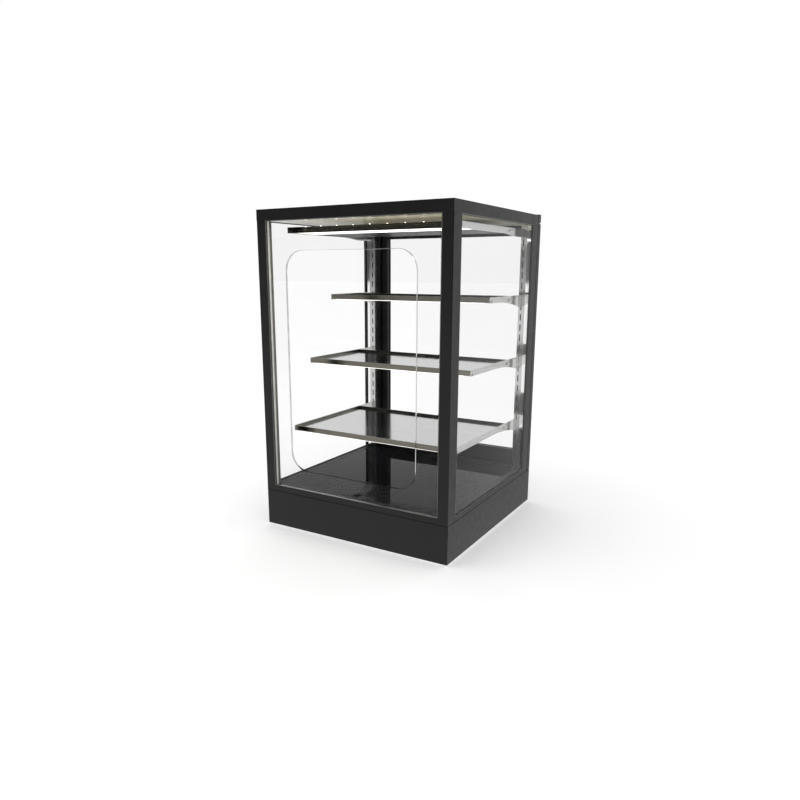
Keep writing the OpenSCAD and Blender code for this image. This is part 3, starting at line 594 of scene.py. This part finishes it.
# Solved from the corners of the case in the photo: lens in mm, place in m, angles in degrees.
CAMERA_LENS = 30.19
CAMERA_SHIFT = (0.0135, 0.0283)
CAMERA_PLACE = (0.8372, -1.4626, 0.6240)
CAMERA_AZIMUTH, CAMERA_ELEVATION = 31.17, 12.79

camera = bpy.data.objects.new("camera", bpy.data.cameras.new("camera"))
scene.collection.objects.link(camera)
scene.camera = camera
camera.data.lens = CAMERA_LENS
camera.data.sensor_width = 36.0
camera.data.shift_x, camera.data.shift_y = CAMERA_SHIFT
camera.location = CAMERA_PLACE
azimuth, elevation = math.radians(CAMERA_AZIMUTH), math.radians(CAMERA_ELEVATION)
back = Vector((
    math.sin(azimuth) * math.cos(elevation),
    -math.cos(azimuth) * math.cos(elevation),
    math.sin(elevation),
))
camera.rotation_euler = (-back).to_track_quat("-Z", "Y").to_euler()
camera.data.clip_start = 0.01
camera.data.clip_end = 100

# ---------------------------------------------------------------- floor, world and lamps

FRONT_BLUR = 0.35
MIRRORED_FRONT, MIRRORED_BACK = 0.08, 0.82
FLOOR_HALF = 30.0
FLOOR_GLOW = 0.135
MIRRORED_FLOOR = 0.80
MIRRORED_FLOOR_FRONT = 0.18
FLOOR_BLUR = 0.3


def studio_world():
    """White all round for sight and diffuse light; mirrors see a dark front and a light grey back."""
    scene.world = bpy.data.worlds.new("studio")
    w = Nodes(scene.world)
    direction = w.add("ShaderNodeSeparateXYZ")
    w.link(w.add("ShaderNodeTexCoord").outputs["Generated"], direction.inputs[0])
    level = w.map_range(
        direction.outputs["Y"], -FRONT_BLUR, FRONT_BLUR, MIRRORED_FRONT, MIRRORED_BACK, "SMOOTHSTEP")
    mirrored = w.mirrored(w.add("ShaderNodeLightPath"))
    dim = w.math("MULTIPLY", mirrored, w.math("SUBTRACT", 1.0, level))
    background = w.add("ShaderNodeBackground")
    background.inputs["Color"].default_value = (1, 1, 1, 1)
    w.link(w.math("SUBTRACT", 1.0, dim), background.inputs["Strength"])
    w.link(background.outputs[0], w.add("ShaderNodeOutputWorld").inputs["Surface"])


def stage_floor():
    """Pale floor that keeps the shadow.

    Sight gets a little light on top, to reach white, which diffuse light doesn't see. Mirrors see a bright
    floor without the shadow, brighter still in front of the case.
    """
    corners = [(x * FLOOR_HALF, y * FLOOR_HALF, 0) for x, y in ((-1, -1), (1, -1), (1, 1), (-1, 1))]
    mesh = bpy.data.meshes.new("floor")
    mesh.from_pydata(corners, [], [(0, 1, 2, 3)])
    floor = bpy.data.objects.new("floor", mesh)
    scene.collection.objects.link(floor)
    s = Shader("pale_floor", Roughness=0.6, Specular_IOR_Level=0.0, Emission_Color=(1, 1, 1, 1))
    s.vary("Base_Color", s.noise(3, 3), (0.89, 0.89, 0.89), (0.91, 0.91, 0.91))
    path = s.add("ShaderNodeLightPath")
    seen = s.math("SUBTRACT", 1.0, path.outputs["Is Diffuse Ray"])
    s.link(s.math("MULTIPLY", seen, FLOOR_GLOW), s.socket("Emission_Strength"))
    in_front = s.map_range(s.axis("Y"), FLOOR_BLUR, -FLOOR_BLUR)
    glow = s.add("ShaderNodeEmission")
    rise = s.math("MULTIPLY", in_front, MIRRORED_FLOOR_FRONT)
    s.link(s.math("ADD", MIRRORED_FLOOR, rise), glow.inputs["Strength"])
    s.mix_surface(s.mirrored(path), glow)
    mesh.materials.append(s.material)


def softbox(name, place, aim, size, watts):
    """An area lamp that lights the case without being seen, mirrored or refracted."""
    light = bpy.data.lights.new(name, "AREA")
    light.shape = "RECTANGLE"
    light.size, light.size_y = size
    light.energy = watts
    lamp = bpy.data.objects.new(name, light)
    scene.collection.objects.link(lamp)
    lamp.location = place
    lamp.rotation_euler = (Vector(aim) - Vector(place)).to_track_quat("-Z", "Y").to_euler()
    lamp.visible_camera = False
    lamp.visible_glossy = False
    lamp.visible_transmission = False


studio_world()
stage_floor()
softbox("top_box", (-1.8, -0.9, 2.6), (0, 0, 0.4), (2.5, 2.5), 12)
ceiling_glow = (0.11, canopy_front - 33 * MM, 0.665)
canopy_glow = (0.02, canopy_front + 62 * MM, canopy_top + 1.5 * MM)
for name, place, size, watts in (
        ("ceiling_glow", ceiling_glow, (0.22, 0.03), 0.06),
        ("canopy_glow", canopy_glow, (0.40, 0.11), 0.035)):
    softbox(name, place, (place[0], place[1], 0.75), size, watts)

scene.view_settings.view_transform = "Standard"
scene.cycles.max_bounces = 24
scene.cycles.transmission_bounces = 24
scene.cycles.glossy_bounces = 12
scene.cycles.diffuse_bounces = 4
